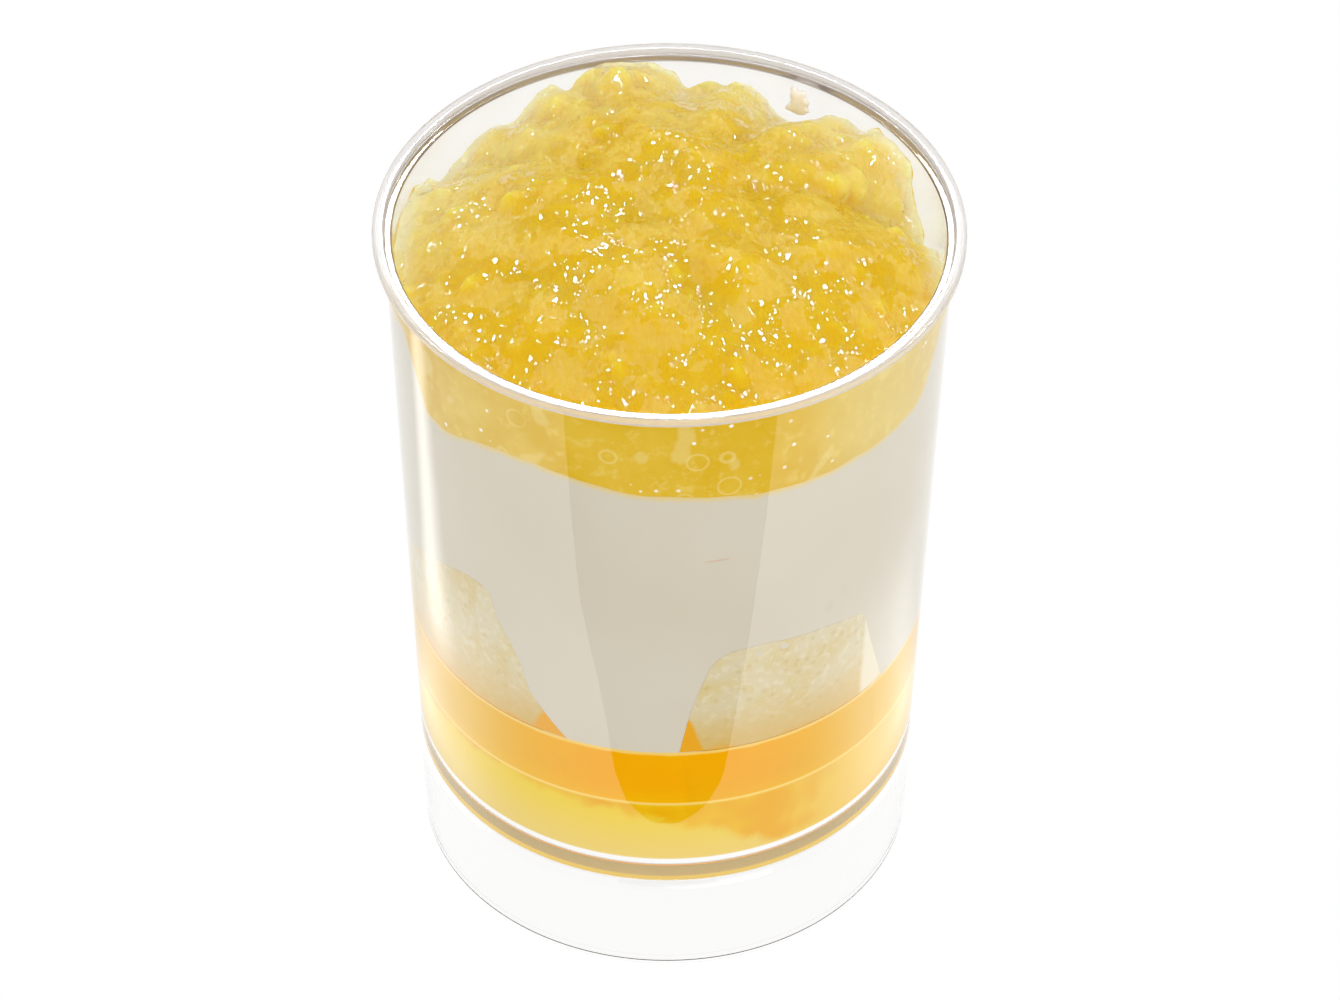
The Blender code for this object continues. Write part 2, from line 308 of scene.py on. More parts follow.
# The step on which a lid would rest gets a matt dark band, a painted shadow under the ledge: a thin dark
# line inside the lip.
ledge_shadow_mask = height.step(LEDGE - 0.0003, LEDGE - 0.0001)
ledge_shadow_mask = ledge_shadow_mask * reach.step(LIP_INSIDE + 0.0001, LIP_INSIDE - 0.0002)
painted_ledge_shadow = place.node("ShaderNodeBsdfDiffuse", inputs={"Color": (0.28, 0.23, 0.20, 1.0)})
plastic = place.node("ShaderNodeMixShader", inputs={0: ledge_shadow_mask * 0.7, 1: plastic, 2: painted_ledge_shadow})

# The light reaches the filling straight through the plastic, which is a clear filter to it.
clear = place.node("ShaderNodeBsdfTransparent", inputs={"Color": (0.95, 0.945, 0.935, 1.0)})
straight = place.node("ShaderNodeLightPath", output="Is Shadow Ray")
straight = straight.math("MAXIMUM", place.node("ShaderNodeLightPath", output="Is Diffuse Ray"))
either = place.node("ShaderNodeMixShader", inputs={0: straight, 1: plastic, 2: clear})
tree.links.new(either.socket, tree.nodes["Material Output"].inputs["Surface"])

# Over the long way down the wall the plastic takes a little of the light, and its edges turn tan.
tan = {"Color": (0.5, 0.37, 0.13, 1.0), "Density": 7.0}
haze = place.node("ShaderNodeVolumeAbsorption", inputs=tan)
tree.links.new(haze.socket, tree.nodes["Material Output"].inputs["Volume"])

made_piece("tumbler_clear", applied(tumbler_guide), clear_plastic, "clear_plastic", "tumbler")


# ---- Yellow jelly --------------------------------------------------------------------------
# The lowest layer: clear citrus jelly set on the tumbler's floor, filling its rounded corner.
# Lobes of the orange jelly sank into it while it was soft and glow through it at the front.

YELLOW_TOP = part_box("yellow_jelly")[1].z + 0.0005  # a little way up into the orange jelly

# How far down the orange shows through: angle round the tumbler, and height of its lower edge
SUNK_ORANGE = (
    (-180, 0.0240), (-150, 0.0262), (-112, 0.0257), (-96, 0.0250), (-90, 0.0237), (-84, 0.0226),
    (-77, 0.0217), (-70, 0.0193), (-62, 0.0174), (-54, 0.0169), (-41, 0.0151), (-20, 0.0180),
    (0, 0.0240), (50, 0.0262), (120, 0.0262), (150, 0.0200), (180, 0.0240),
)


def height_round(angle, heights, low, high):
    """A height that changes with the angle round the axis, as (angle, height) pairs give it."""
    stops = []
    for turn, height in heights:
        share = (height - low) / (high - low)
        stops.append(((turn + 180.0) / 360.0, (share, share, share, 1.0)))
    ramp = angle.node("ShaderNodeValToRGB", {"stops": stops}, {0: (angle + 180.0) / 360.0})
    return ramp * (high - low) + low


yellow_corners = [
    (0.0, YELLOW_TOP, 0.0),
    (fill_radius(YELLOW_TOP), YELLOW_TOP, 0.0),
    (fill_radius(FLOOR_TOP), FLOOR_TOP - PRESS, INNER_FILLET),
    (0.0, FLOOR_TOP - PRESS, 0.0),
]
yellow_mesh = turned_mesh("yellow_turned", rounded_line(yellow_corners))
yellow_mesh.set_sharp_from_angle(angle=math.radians(40))

JELLY = {"IOR": 1.36, "Specular_IOR_Level": 0.02}
yellow_finish, place = new_finish("yellow_jelly", **JELLY)
angle, reach, height = place.cylinder()
ragged = place.grain(300.0, 5.0, 0.65, 0.5) * 0.0044 - 0.0022 + height
edge = height_round(angle, SUNK_ORANGE, 0.014, 0.028)
sunk = (ragged - edge).step(-0.0008, 0.0014)
# Painted light: the jelly is paler towards the floor, where light from below shines up through it, and
# deeper yellow towards its top.
floor_glow_fade = height.step(FLOOR_TOP, YELLOW_TOP)
body = floor_glow_fade.blend(colour(237, 207, 110), colour(240, 208, 46))
blotch = place.grain(220.0, 3.0).step(0.35, 0.75)
lobe = blotch.blend(colour(237, 174, 4), colour(240, 192, 20))
thin = (angle + 66.0 + blotch * 12.0).step(0.0, 26.0) * 0.75
lobe = thin.blend(lobe, colour(241, 205, 84))
# Painted highlight: a thin pale line at the top edge, where the meniscus meets the wall.
meniscus_highlight = height.step(YELLOW_TOP - 0.0006, YELLOW_TOP - 0.0002)
jelly = meniscus_highlight.blend(sunk.blend(body, lobe), colour(250, 214, 110))

# Plastic that is seen from inside at a slant mirrors the light, and hides the jelly against it.
slant = place.node("ShaderNodeLayerWeight", inputs={"Blend": 0.5}, output="Facing").step(0.40, 0.46)
under = height.step(FLOOR_TOP + 0.00012, FLOOR_TOP + 0.00002)
slant = slant * (1.0 - under * 0.5)
# Painted highlight: a white ring just above the floor, where the plastic's rounded inner corner shines.
painted_corner_highlight = height.step(FLOOR_TOP + 0.0021, FLOOR_TOP + 0.0017)
jelly = painted_corner_highlight.blend(jelly, (1.0, 1.0, 1.0, 1.0))
jelly = under.blend(jelly, colour(252, 214, 104))
# Painted reflection: the mirror's colour is white, with an orange line low in the corner and tan grey
# under the floor.
orange_reflection_line = height.step(FLOOR_TOP + 0.0009, FLOOR_TOP + 0.0007)
mirror = orange_reflection_line.blend((1.0, 1.0, 1.0, 1.0), colour(236, 164, 36))
mirror = under.blend(mirror, (0.62, 0.61, 0.54, 1.0))
feed(
    yellow_finish,
    Base_Color=slant.blend(jelly, mirror),
    Metallic=slant,
    Roughness=0.25 - slant * 0.24,
)
made_piece("yellow_jelly_layer", yellow_mesh, yellow_finish, "yellow_jelly", "yellow_jelly")


# ---- Orange jelly --------------------------------------------------------------------------
# The next layer: orange jelly poured on the yellow once that had begun to set.
# It ends in a meniscus against the wall, painted as a thin bright highlight line, where the sponge and
# the milk stand on it.

ORANGE_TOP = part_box("orange_jelly")[1].z

# Lobes that sank into the yellow jelly: angle, distance from the axis, spread, depth
ORANGE_LOBES = (
    (-98.0, 0.0215, 0.0045, 0.0030),
    (-74.0, 0.0215, 0.0060, 0.0062),
    (-48.0, 0.0200, 0.0070, 0.0080),
    (150.0, 0.0170, 0.0070, 0.0040),
)
ORANGE_RINGS = 16
orange_profile = [(0.0, ORANGE_TOP), (fill_radius(ORANGE_TOP), ORANGE_TOP)]
orange_profile += [
    (fill_radius(YELLOW_TOP) * ring / ORANGE_RINGS, YELLOW_TOP)
    for ring in range(ORANGE_RINGS, -1, -1)
]
orange_mesh = turned_mesh("orange_turned", orange_profile)
for vertex in orange_mesh.vertices:
    if vertex.co.z > (YELLOW_TOP + ORANGE_TOP) / 2:
        continue
    for turn, distance, spread, sink in ORANGE_LOBES:
        middle = Vector((math.cos(math.radians(turn)), math.sin(math.radians(turn)))) * distance
        away = (vertex.co.xy - middle).length / spread
        if vertex.co.xy.length < fill_radius(YELLOW_TOP) - 0.0001:
            vertex.co.z -= sink * math.exp(-away * away)
orange_mesh.set_sharp_from_angle(angle=math.radians(40))

orange_finish, place = new_finish("orange_jelly", Roughness=0.25, **JELLY)
angle, reach, height = place.cylinder()
front = (angle + 89.0).math("ABSOLUTE").step(60.0, 10.0)
cloud = place.grain(150.0, 3.0, 0.55).step(0.3, 0.8)
body = front.blend(colour(230, 186, 22), colour(245, 170, 0))
body = (cloud * 0.3).blend(body, colour(246, 188, 8))
foot_glow = height.step(YELLOW_TOP + 0.003, YELLOW_TOP) * 0.3
body = foot_glow.blend(body, colour(248, 196, 8))
wavy = place.grain(300.0, 2.0) * 0.0005 + height
# Painted highlight: a thin pale line along the wavy meniscus at the wall.
meniscus_highlight = wavy.step(ORANGE_TOP - 0.0003, ORANGE_TOP - 0.0001)
feed(orange_finish, Base_Color=meniscus_highlight.blend(body, colour(246, 206, 104)))
made_piece("orange_jelly_layer", orange_mesh, orange_finish, "orange_jelly", "orange_jelly")


# ---- Sponge cake ---------------------------------------------------------------------------
# Three pieces of plain sponge, cut with square corners, that stand on the orange jelly with one
# cut face pressed flat against the wall. The crumb is pale and porous, with juice at its foot.

SPONGE_DEPTH = 0.0140
SPONGE_PRESS = 0.00016
SPONGE_SIDE = (0.02, 0.1, 0.3, 0.6, 0.95, 1.0)  # shares of the depth at which a side has points
CRUMB_STEP = 0.00045
CRUMB_MARGIN = 0.0030  # from a face's edges, over which the pores fade in
PORES = 620.0  # to the metre

# Each face against the wall: its clockwise side and its anticlockwise side, as (angle, height)
# pairs from the foot up. The last pair of both is the same.
SPONGE_FACES = {
    "sponge_right": (
        ((-86.8, 0.0355), (-84.7, 0.0414), (-82.6, 0.0453), (-80.5, 0.0487), (-78.6, 0.0501),
         (-76.0, 0.0509), (-72.8, 0.0511), (-68.0, 0.0512)),
        ((-33.7, 0.0355), (-38.8, 0.0431), (-41.0, 0.0470), (-42.3, 0.0488), (-45.0, 0.0494),
         (-54.7, 0.0504), (-64.7, 0.0509), (-68.0, 0.0512)),
    ),
    "sponge_left": (
        ((-178.0, 0.0355), (-175.0, 0.0430), (-172.0, 0.0462), (-165.0, 0.0473), (-158.0, 0.0500),
         (-148.0, 0.0523), (-139.0, 0.0542), (-134.0, 0.0544)),
        ((-112.5, 0.0355), (-114.1, 0.0363), (-117.7, 0.0385), (-121.4, 0.0411), (-123.7, 0.0453),
         (-126.2, 0.0478), (-129.6, 0.0507), (-131.0, 0.0537), (-134.0, 0.0544)),
    ),
    "sponge_back": (
        ((37.0, 0.0355), (40.0, 0.0440), (43.0, 0.0500), (47.0, 0.0512), (60.0, 0.0518)),
        ((95.0, 0.0355), (92.0, 0.0420), (88.5, 0.0470), (85.0, 0.0490), (60.0, 0.0518)),
    ),
}


def angle_at(side, height):
    """The angle of one side of a face at a height, between the pairs that give it."""
    angles, heights = zip(*side)
    return float(np.interp(height, heights, angles))


def crumb_depth(spot):
    """How far the crumb's surface lies back at a spot: open pores, and finer unevenness."""
    near = noise.voronoi(spot * PORES)[0][0]
    pore = max(0.0, 0.42 - near) / 0.42
    coarse = max(0.0, noise.noise(spot * 260.0) - 0.15)
    fine = 1.0 + noise.noise(spot * 1500.0)
    return min(0.00014, 0.0001 * pore + 0.0001 * coarse + 0.00002 * fine)


def sponge_mesh(name, first_side, last_side):
    """A block built up of level sections: an arc along the wall, two square sides and a flat back."""
    foot, top = first_side[0][1], first_side[-1][1]
    middle = math.radians((first_side[0][0] + last_side[0][0]) / 2)
    inward = Vector((-math.cos(middle), -math.sin(middle), 0.0))
    back = inner_radius(foot) - SPONGE_DEPTH
    levels = int((top - foot) / CRUMB_STEP)
    width = math.radians(abs(last_side[0][0] - first_side[0][0])) * inner_radius(foot)
    along = int(width / CRUMB_STEP)
    points, faces = [], []
    for level in range(levels + 1):
        share = level / levels
        height = foot + (top - foot) * (1.0 - (1.0 - share) ** 1.6)
        start, end = angle_at(first_side, height), angle_at(last_side, height)
        if level == levels:
            end = start + 0.5
        radius = inner_radius(height) + SPONGE_PRESS
        arc = []
        for index in range(along + 1):
            turn = math.radians(start + (end - start) * index / along)
            spot = Vector((radius * math.cos(turn), radius * math.sin(turn), height))
            from_edge = min(index, along - index, levels - level) * CRUMB_STEP
            fade = min(1.0, from_edge / CRUMB_MARGIN)
            spot.xy *= 1.0 - crumb_depth(spot) * fade / spot.xy.length
            arc.append(spot)
        near_depth, far_depth = arc[0].dot(-inward) - back, arc[-1].dot(-inward) - back
        far = [arc[-1] + inward * far_depth * part for part in SPONGE_SIDE]
        near = [arc[0] + inward * near_depth * part for part in reversed(SPONGE_SIDE)]
        points += arc + far + near
    count = along + 1 + 2 * len(SPONGE_SIDE)
    for level in range(levels):
        for index in range(count):
            after = (index + 1) % count
            low = level * count
            faces.append((low + index, low + after, low + count + after, low + count + index))
    faces.append(list(reversed(range(count))))
    faces.append([levels * count + index for index in range(count)])
    mesh = bpy.data.meshes.new(name)
    mesh.from_pydata(points, [], faces)
    mesh.shade_smooth()
    mesh.set_sharp_from_angle(angle=math.radians(60))
    return mesh


crumb_finish, place = new_finish(
    "sponge_cake",
    Roughness=0.8,
    IOR=1.3,
    Specular_IOR_Level=0.05,
)
angle, reach, height = place.cylinder()
pore = place.node("ShaderNodeTexVoronoi", inputs={"Vector": place, "Scale": PORES})
pore_shade = pore.step(0.35, 0.05)
stain = place.grain(180.0, 4.0, 0.6)
crumb = stain.step(0.35, 0.7).blend(colour(219, 208, 174), colour(218, 198, 142))
# Painted shade: the open pores are darker, as their hollows lie in shade.
crumb = (pore_shade * 0.3).blend(crumb, colour(198, 164, 92))
crumb = (place.grain(1100.0, 3.0).step(0.5, 0.66) * 0.3).blend(crumb, colour(238, 232, 212))
damp = (height + stain * 0.004).step(ORANGE_TOP + 0.0105, ORANGE_TOP + 0.002)
crumb = (damp * 0.8).blend(crumb, colour(216, 180, 96))

# Milk lies over the right-hand piece's far side, and juice has soaked the corners at the front.
milky = ((angle + 41.5) * 0.001 + (stain - 0.5) * 0.002).step(-0.0008, 0.0012)
milky = milky * angle.step(-15.0, -25.0)
crumb = (milky * 0.8).blend(crumb, colour(238, 230, 206))
corner = (angle + 86.0).math("ABSOLUTE").step(5.0, 0.5)
corner = corner + (angle + 114.0).math("ABSOLUTE").step(8.0, 0.5)
soaked = (height - stain * 0.004 - corner * 0.0055).step(ORANGE_TOP - 0.0010, ORANGE_TOP - 0.0028)
crumb = soaked.blend(crumb, colour(236, 170, 40))
feed(crumb_finish, Base_Color=crumb, Normal=place.grain(1400.0, 4.0, 0.7).relief(0.00012))
for name, (first_side, last_side) in SPONGE_FACES.items():
    mesh = sponge_mesh(name + "_block", first_side, last_side)
    made_piece(name + "_crumb", mesh, crumb_finish, "sponge_cake", name)


# ---- Milk pudding --------------------------------------------------------------------------
# The white layer: milk set with gelatine, poured round the sponge right up to the wall.
# Smooth and satin, with a soft uneven upper edge where the crushed jelly was spooned on it.

# The upper edge against the wall: angle and height
MILK_EDGE = (
    (-149, 0.0749), (-142, 0.0747), (-134, 0.0762), (-126, 0.0774), (-118, 0.0774), (-111, 0.0770),
    (-101, 0.0761), (-90, 0.0759), (-76, 0.0752), (-64, 0.0749), (-53, 0.0750), (-47, 0.0749),
    (-38, 0.0751), (-29, 0.0753), (-25, 0.0764), (-21, 0.0792), (-16, 0.0826), (-9, 0.0824),
    (0, 0.0785), (10, 0.0752), (60, 0.0746), (110, 0.0758), (160, 0.0748), (180, 0.0780),
    (194, 0.0828), (202, 0.0832), (207, 0.0790), (211, 0.0749),
)
MILK_PRESS = 0.00009
MILK_RINGS = 56
CLEARANCE = 0.0024  # how far inside the sponge's outline the milk's hollow begins
HOLLOW = 0.0015  # depth of that hollow, so that the sponge shows and not the milk


def height_at(edge, turn):
    """The height of an edge at an angle, between the pairs that give it."""
    angles, heights = zip(*edge)
    return float(np.interp(turn, angles, heights))


def behind_sponge(turn, height):
    """Whether a place at the wall lies behind one of the pieces of sponge."""
    for first_side, last_side in SPONGE_FACES.values():
        if first_side[0][1] <= height <= first_side[-1][1] - CLEARANCE:
            margin = math.degrees(CLEARANCE / inner_radius(height))
            if angle_at(first_side, height) + margin < turn < angle_at(last_side, height) - margin:
                return True
    return False


milk_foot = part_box("milk_pudding")[0].z - 0.0004  # a little way down into the orange jelly
milk_top = MILK_EDGE[0][1]
milk_profile = [(0.0, milk_top), (fill_radius(milk_top) * 0.5, milk_top)]
milk_profile += [(fill_radius(milk_top) - 0.0015, milk_top)]
for ring in range(MILK_RINGS + 1):
    ring_height = milk_top + (milk_foot - milk_top) * ring / MILK_RINGS
    milk_profile.append((inner_radius(ring_height) + MILK_PRESS, ring_height))
milk_profile.append((0.0, milk_foot))
milk_mesh = turned_mesh("milk_turned", milk_profile, sides=256)
below = []
for vertex in milk_mesh.vertices:
    turn = math.degrees(math.atan2(vertex.co.y, vertex.co.x))
    turn = turn + 360.0 if turn < MILK_EDGE[0][0] else turn
    edge_height = height_at(MILK_EDGE, turn)
    edge_height += 0.0004 * noise.noise(vertex.co.xy.to_3d() * 230.0)
    share = (vertex.co.z - milk_foot) / (milk_top - milk_foot)
    near = min(1.0, vertex.co.xy.length / fill_radius(milk_top)) ** 4
    vertex.co.z += (edge_height - milk_top) * share**6 * near
    wall = inner_radius(vertex.co.z) + MILK_PRESS
    if behind_sponge(turn - 360.0 if turn > 180.0 else turn, vertex.co.z):
        wall -= HOLLOW
    at_edge = vertex.co.xy.length > fill_radius(milk_top) - 0.0002
    on_axis = vertex.co.xy.length < 0.001
    if share > 0.0 and (share < 1.0 or at_edge) and not on_axis:
        vertex.co.xy = vertex.co.xy.normalized() * wall
    below.append(edge_height - vertex.co.z)
milk_mesh.attributes.new("below_edge", "FLOAT", "POINT").data.foreach_set("value", below)
milk_mesh.set_sharp_from_angle(angle=math.radians(50))

milk_finish, place = new_finish(
    "milk_pudding",
    Roughness=0.35,
    IOR=1.33,
    Specular_IOR_Level=0.02,
)
angle, reach, height = place.cylinder()
drift = place.grain(45.0, 3.0).step(0.3, 0.7)
milk = drift.blend(colour(211, 203, 184), colour(215, 208, 191))

# A short fine scratch with a little juice in it, at the front, and a few darker specks.
along = angle + 79.5
mark = (height - 0.0657 - along * 0.00003).math("ABSOLUTE").step(0.00022, 0.00004)
mark = mark * along.math("ABSOLUTE").step(3.0, 1.6)
milk = (mark * 0.4).blend(milk, colour(212, 160, 104))
speck = place.grain(160.0, 2.0).step(0.72, 0.78) * 0.35
milk = speck.blend(milk, colour(205, 192, 165))
below = place.node("ShaderNodeAttribute", {"attribute_name": "below_edge"}, output="Fac")
seep = (below + (place.grain(600.0, 3.0) - 0.5) * 0.0008).step(0.0010, 0.0)
milk = (seep * 0.75).blend(milk, colour(232, 204, 110))
feed(milk_finish, Base_Color=milk, Normal=place.grain(90.0, 3.0).relief(0.0001))
made_piece("milk_pudding_layer", milk_mesh, milk_finish, "milk_pudding", "milk_pudding")


# ---- Crushed jelly -------------------------------------------------------------------------
# The heap: firm citrus jelly broken up with a fork and spooned on in a mound over the rim.
# Wet, translucent fragments of all sizes that lie fused in their own juice, pressed to the wall.

HEAP_TOP = 0.0935
HEAP_EDGE = 0.0858
HEAP_CURVE = 2.3

# Height of the heap where it meets the wall: angle and height
HEAP_RIM = (
    (-180, 0.0858), (-140, 0.0866), (-90, 0.0870), (-40, 0.0866), (-10, 0.0857), (0, 0.0835),
    (10, 0.0797), (19, 0.0769), (28, 0.0856), (34, 0.0868), (40, 0.0855), (44, 0.0844),
    (49, 0.0865), (54, 0.0839), (60, 0.0804), (67, 0.0834), (71, 0.0858), (75, 0.0863),
    (80, 0.0845), (84, 0.0840), (87, 0.0847), (90, 0.0858), (93, 0.0875), (102, 0.0888),
    (107, 0.0890), (112, 0.0850), (118, 0.0877), (125, 0.0835), (134, 0.0850), (142, 0.0809),
    (151, 0.0824), (160, 0.0846), (170, 0.0855), (180, 0.0858),
)
CORE_DROP = 0.0008  # of the core under the mean surface, which the fragments make up
CORE_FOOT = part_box("crushed_jelly")[0].z - 0.0008  # a little way down into the milk
CORE_RINGS = 30
HEAP_OVERLAP = 0.0004  # how far the heap reaches into the wall before it is pressed flat
VOXEL = 0.00036
FRAGMENT_KINDS = 12
FRAGMENT_POINTS = 34
FRAGMENT_RADIUS = (0.00080, 0.00108)
FRAGMENT_LONG, FRAGMENT_FLAT = 1.2, 0.75

# Seed, spacing, smallest and largest size, and how deep the fragments lie
LARGE_FRAGMENTS = (3, 0.0034, 1.6, 3.2, 0.0022)
SMALL_FRAGMENTS = (8, 0.0021, 0.7, 1.6, 0.0011)


def clipped(value, low=0.0, high=1.0):
    return min(high, max(low, value))


def heap_height(x, y):
    """Height of the heap's mean surface: a mound with broad swells, and lumps near the wall."""
    reach = min(1.0, math.hypot(x, y) / inner_radius(HEAP_EDGE))
    rim = height_at(HEAP_RIM, math.degrees(math.atan2(y, x)))
    fall = (HEAP_TOP - rim) * reach**HEAP_CURVE
    lump = clipped(noise.noise(Vector((x, y, 0.3)) * 230.0), high=0.5)
    lump *= clipped(reach * 5.0 - 3.7)
    lump *= 0.0006 + 0.0016 * clipped(0.6 + y * 50.0)
    swell = noise.noise(Vector((x, y, 0.0)) * 140.0)
    swell *= 0.0007 + 0.0009 * clipped(4.0 - reach * 5.0)
    return HEAP_TOP - fall + swell + lump


def fragment_mesh(rng, index):
    """One broken piece of jelly, about 2 mm across: the hull of some points, with blunt corners."""
    shape = bmesh.new()
    for _ in range(FRAGMENT_POINTS):
        spot = Vector([rng.gauss(0.0, 1.0) for _ in range(3)]).normalized()
        spot *= rng.uniform(*FRAGMENT_RADIUS)
        shape.verts.new(Vector((spot.x * FRAGMENT_LONG, spot.y, spot.z * FRAGMENT_FLAT)))
    bmesh.ops.convex_hull(shape, input=shape.verts[:])
    bmesh.ops.delete(shape, geom=[v for v in shape.verts if not v.link_faces], context="VERTS")
    mesh = bpy.data.meshes.new(f"fragment_{index:02d}")
    shape.to_mesh(mesh)
    shape.free()
    return mesh


def scatter_tree():
    """Scatters fragments over a mesh's upward faces, keeps them inside the wall, and joins them on."""
    tree = bpy.data.node_groups.new("spooned_fragments", "GeometryNodeTree")
    face = tree.interface
    face.new_socket("Geometry", in_out="INPUT", socket_type="NodeSocketGeometry")
    face.new_socket("Fragments", in_out="INPUT", socket_type="NodeSocketCollection")
    for name in ("Spacing", "Smallest", "Largest", "Sink", "Wall at Ground", "Wall Taper"):
        face.new_socket(name, in_out="INPUT", socket_type="NodeSocketFloat")
    face.new_socket("Seed", in_out="INPUT", socket_type="NodeSocketInt")
    face.new_socket("Material", in_out="INPUT", socket_type="NodeSocketMaterial")
    face.new_socket("Geometry", in_out="OUTPUT", socket_type="NodeSocketGeometry")
    entry = tree.nodes.new("NodeGroupInput")
    given = {socket.name: Wire(tree, socket) for socket in entry.outputs}
    start = given["Geometry"]
    up = start.node("GeometryNodeInputNormal").parts()[2]
    points = start.node(
        "GeometryNodeDistributePointsOnFaces",
        {"distribute_method": "POISSON"},
        {"Mesh": start, "Selection": up.math("GREATER_THAN", 0.25), "Distance Min": given["Spacing"],
         "Density Max": 4000000.0, "Seed": given["Seed"]},
    )
    kinds = start.node(
        "GeometryNodeCollectionInfo",
        inputs={"Collection": given["Fragments"], "Separate Children": True, "Reset Children": True},
    )
    spin = start.node(
        "FunctionNodeRandomValue",
        {"data_type": "FLOAT_VECTOR"},
        {0: (0.0, 0.0, 0.0), 1: (math.tau, math.tau, math.tau), "Seed": given["Seed"]},
    )
    size = start.node(
        "FunctionNodeRandomValue",
        {"data_type": "FLOAT"},
        {2: given["Smallest"], 3: given["Largest"], "Seed": given["Seed"] + 5.0},
        output=1,
    )
    kind = start.node(
        "FunctionNodeRandomValue",
        {"data_type": "INT"},
        {4: 0, 5: FRAGMENT_KINDS - 1, "Seed": given["Seed"] + 9.0},
        output=2,
    )
    placed = start.node(
        "GeometryNodeInstanceOnPoints",
        inputs={"Points": points, "Instance": kinds, "Pick Instance": True, "Instance Index": kind,
                "Rotation": spin, "Scale": size},
    )
    real = start.node("GeometryNodeRealizeInstances", inputs={"Geometry": placed})
    x, y, z = start.node("GeometryNodeInputPosition").parts()
    reach = (x * x + y * y).math("SQRT")
    wall = z * given["Wall Taper"] + given["Wall at Ground"]
    keep = (wall / reach.math("MAXIMUM", 0.001)).math("MINIMUM", 1.0)
    far_edge = reach.step(0.020, 0.028) * y.step(-0.010, 0.012)  # where they lie a little higher
    sunk = z - given["Sink"] * (1.15 - far_edge * 0.3)
    inside = start.node("ShaderNodeCombineXYZ", inputs={0: x * keep, 1: y * keep, 2: sunk})
    held = start.node("GeometryNodeSetPosition", inputs={"Geometry": real, "Position": inside})
    join = tree.nodes.new("GeometryNodeJoinGeometry")
    tree.links.new(held.socket, join.inputs[0])
    tree.links.new(start.socket, join.inputs[0])
    dressed = start.node(
        "GeometryNodeSetMaterial",
        inputs={"Geometry": Wire(tree, join.outputs[0]), "Material": given["Material"]},
    )
    last = tree.nodes.new("NodeGroupOutput")
    tree.links.new(dressed.socket, last.inputs[0])
    return tree


def set_inputs(modifier, **values):
    """Sets a Geometry Nodes modifier's inputs by their sockets' identifiers."""
    for socket in modifier.node_group.interface.items_tree:
        key = socket.name.replace(" ", "_")
        if socket.in_out == "INPUT" and key in values:
            modifier[socket.identifier] = values[key]


heap_rng = random.Random(11)
fragments = bpy.data.collections.new("fragments")
for index in range(FRAGMENT_KINDS):
    kind = bpy.data.objects.new(f"fragment_{index:02d}", fragment_mesh(heap_rng, index))
    fragments.objects.link(kind)

core_profile = [
    (inner_radius(HEAP_EDGE) * ring / CORE_RINGS, HEAP_TOP) for ring in range(CORE_RINGS + 1)
]
core_profile += [(inner_radius(CORE_FOOT), CORE_FOOT), (0.0, CORE_FOOT)]
core_mesh = turned_mesh("core_turned", core_profile, sides=96)
for vertex in core_mesh.vertices:
    if vertex.co.z > (HEAP_TOP + CORE_FOOT) / 2:
        vertex.co.z = heap_height(vertex.co.x, vertex.co.y) - CORE_DROP
    if vertex.co.xy.length > inner_radius(HEAP_EDGE) - 0.0005:
        vertex.co.xy = vertex.co.xy.normalized() * (inner_radius(vertex.co.z) + HEAP_OVERLAP)

crushed_finish, place = new_finish(
    "crushed_jelly",
    Subsurface_Weight=1.0,
    Subsurface_Scale=0.007,
    Subsurface_Radius=(1.0, 0.7, 0.25),
    IOR=1.43,
    Specular_Tint=(0.40, 0.80, 1.0, 1.0),
)

heap_guide = bpy.data.objects.new("heap_guide", core_mesh)
bpy.context.scene.collection.objects.link(heap_guide)
scatter = scatter_tree()
for seed, spacing, smallest, largest, sink in (LARGE_FRAGMENTS, SMALL_FRAGMENTS):
    spooned = heap_guide.modifiers.new("fragments", "NODES")
    spooned.node_group = scatter
    set_inputs(
        spooned,
        Fragments=fragments,
        Spacing=spacing,
        Smallest=smallest,
        Largest=largest,
        Sink=sink,
        Wall_at_Ground=inner_radius(0.0) + HEAP_OVERLAP,
        Wall_Taper=INNER_TAPER,
        Seed=seed,
        Material=crushed_finish,
    )
fuse = heap_guide.modifiers.new("fused", "REMESH")
fuse.mode = "VOXEL"
fuse.voxel_size = VOXEL
wet = heap_guide.modifiers.new("wet", "SMOOTH")
wet.factor = 0.5
wet.iterations = 26
heap_mesh = applied(heap_guide)
for kind in list(fragments.objects):
    bpy.data.objects.remove(kind, do_unlink=True)
bpy.data.collections.remove(fragments)

# Flat against the wall, where a few air pockets are marked for painted pale reflections; the attributes
# say where, and how proud a fragment stands.
count = len(heap_mesh.vertices)
spots = np.empty(count * 3)
heap_mesh.vertices.foreach_get("co", spots)
spots = spots.reshape(-1, 3)
reaches = np.hypot(spots[:, 0], spots[:, 1])
walls = inner_radius(spots[:, 2]) + HEAP_PRESS
pocket = np.zeros(count)
proud = np.zeros(count)
for index in range(count):
    x, y, z = spots[index]
    proud[index] = z - heap_height(x, y)
    if reaches[index] > walls[index] - 0.0003 and z < RIM:
        cell = noise.noise(Vector((x, y, z * 0.8)) * 330.0 + Vector((3.1, 0.0, 0.0)))
        pocket[index] = clipped((cell - 0.45) / 0.06)
target = np.minimum(reaches, walls)
contact = (reaches > walls - 0.0002) * 1.0
spots[:, :2] *= (target / np.maximum(reaches, 1e-6))[:, None]
heap_mesh.vertices.foreach_set("co", spots.ravel())
proud = np.clip(0.5 + proud / 0.004, 0.0, 1.0)
for name, values in (("proud", proud), ("pocket", pocket), ("contact", contact)):
    heap_mesh.attributes.new(name, "FLOAT", "POINT").data.foreach_set("value", values)
heap_mesh.shade_smooth()
heap_mesh.update()

